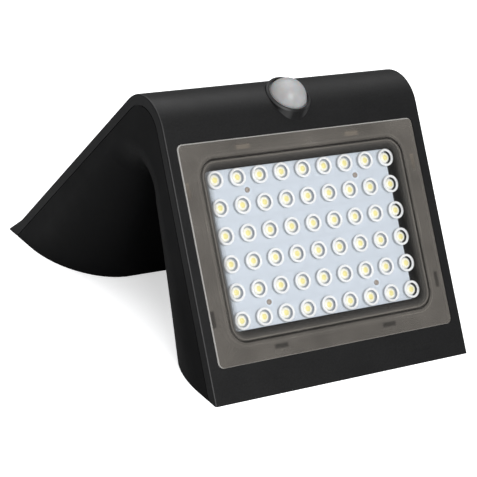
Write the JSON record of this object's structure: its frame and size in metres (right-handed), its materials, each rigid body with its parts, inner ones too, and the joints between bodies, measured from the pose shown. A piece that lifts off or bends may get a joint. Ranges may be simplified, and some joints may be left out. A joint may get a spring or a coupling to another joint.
{
  "type": "solar flood light",
  "caption": "V-shaped solar wall flood light with a framed LED lamp face, a motion-sensor dome on its ridge and a solar face behind.",
  "frame": {"origin": "middle of the footprint, in the wall plane", "axes": "+X along the ridge, +Y along the wall from the lamp foot to the solar tip (up, once mounted), +Z out of the wall"},
  "size_m": [0.178, 0.2592, 0.151],
  "materials": {
    "housing_black": "fine matte texture",
    "seal_rubber": "matt silicone",
    "window_smoke": "smoky clear polycarbonate, hazed under its border",
    "lens_clear": "clear moulded acrylic",
    "board_white": "white solder mask on aluminium",
    "phosphor": "yellow phosphor in a white package",
    "screw_steel": "zinc plated",
    "screw_black": "black oxide",
    "dome_white": "milky polyethylene",
    "plastic_grey": "plain moulded",
    "board_green": "solder mask",
    "can_steel": "drawn nickel-plated can",
    "filter_dark": "dark infrared filter",
    "panel_glass": "tempered, fine pyramid texture",
    "encapsulant": "dark laminate",
    "silicon": "blue-black monocrystalline",
    "ribbon_tin": "tinned copper",
    "backing_white": "fibreglass board",
    "adhesive": "foam tape",
    "chip_black": "epoxy moulding",
    "capacitor_sleeve": "printed sleeve without text",
    "connector_white": "nylon",
    "cell_wrap": "heat-shrink wrap",
    "contact_nickel": "nickel-plated spring strip",
    "button_rubber": "soft-touch black",
    "bracket_steel": "zinc-plated sheet"
  },
  "bodies": {
    "housing": {"battery_cell_lower": "cell_wrap", "battery_cell_upper": "cell_wrap", "battery_contacts": "contact_nickel", "battery_cradle": "plastic_grey", "board_connectors": "connector_white", "capacitors": "capacitor_sleeve", "cell_ribbons": "ribbon_tin", "control_board": "board_green", "control_chips": "chip_black", "control_screws": "screw_steel", "cradle_screws": "screw_steel", "driver_inductor": "chip_black", "encapsulant": "encapsulant", "front_housing": "housing_black", "housing_screws": "screw_black", "lamp_window": "window_smoke", "led_board": "board_white", "led_board_screws": "screw_steel", "led_chips": "phosphor", "lens_sheet": "lens_clear", "lock_screw": "bracket_steel", "panel_adhesive": "adhesive", "panel_backing": "backing_white", "panel_glass": "panel_glass", "rear_cover": "housing_black", "seam_gasket": "seal_rubber", "sensor_board": "board_green", "sensor_can": "can_steel", "sensor_dome": "dome_white", "sensor_filter": "filter_dark", "sensor_retainer": "plastic_grey", "sensor_screws": "screw_steel", "solar_cells": "silicon", "switch_board": "board_green", "switch_screws": "screw_steel", "tact_switch": "chip_black", "wall_bracket": "bracket_steel", "window_gasket": "seal_rubber"},
    "mode_button": {"mode_button": "button_rubber"}
  },
  "joints": [
    {"name": "mode_button_press", "type": "slide", "parent": "housing", "child": "mode_button", "axis": [0, -0.9717, 0.2364], "range_m": [0, 0.001], "stiffness_N_per_m": 400, "springref_m": -0.0005}
  ]
}
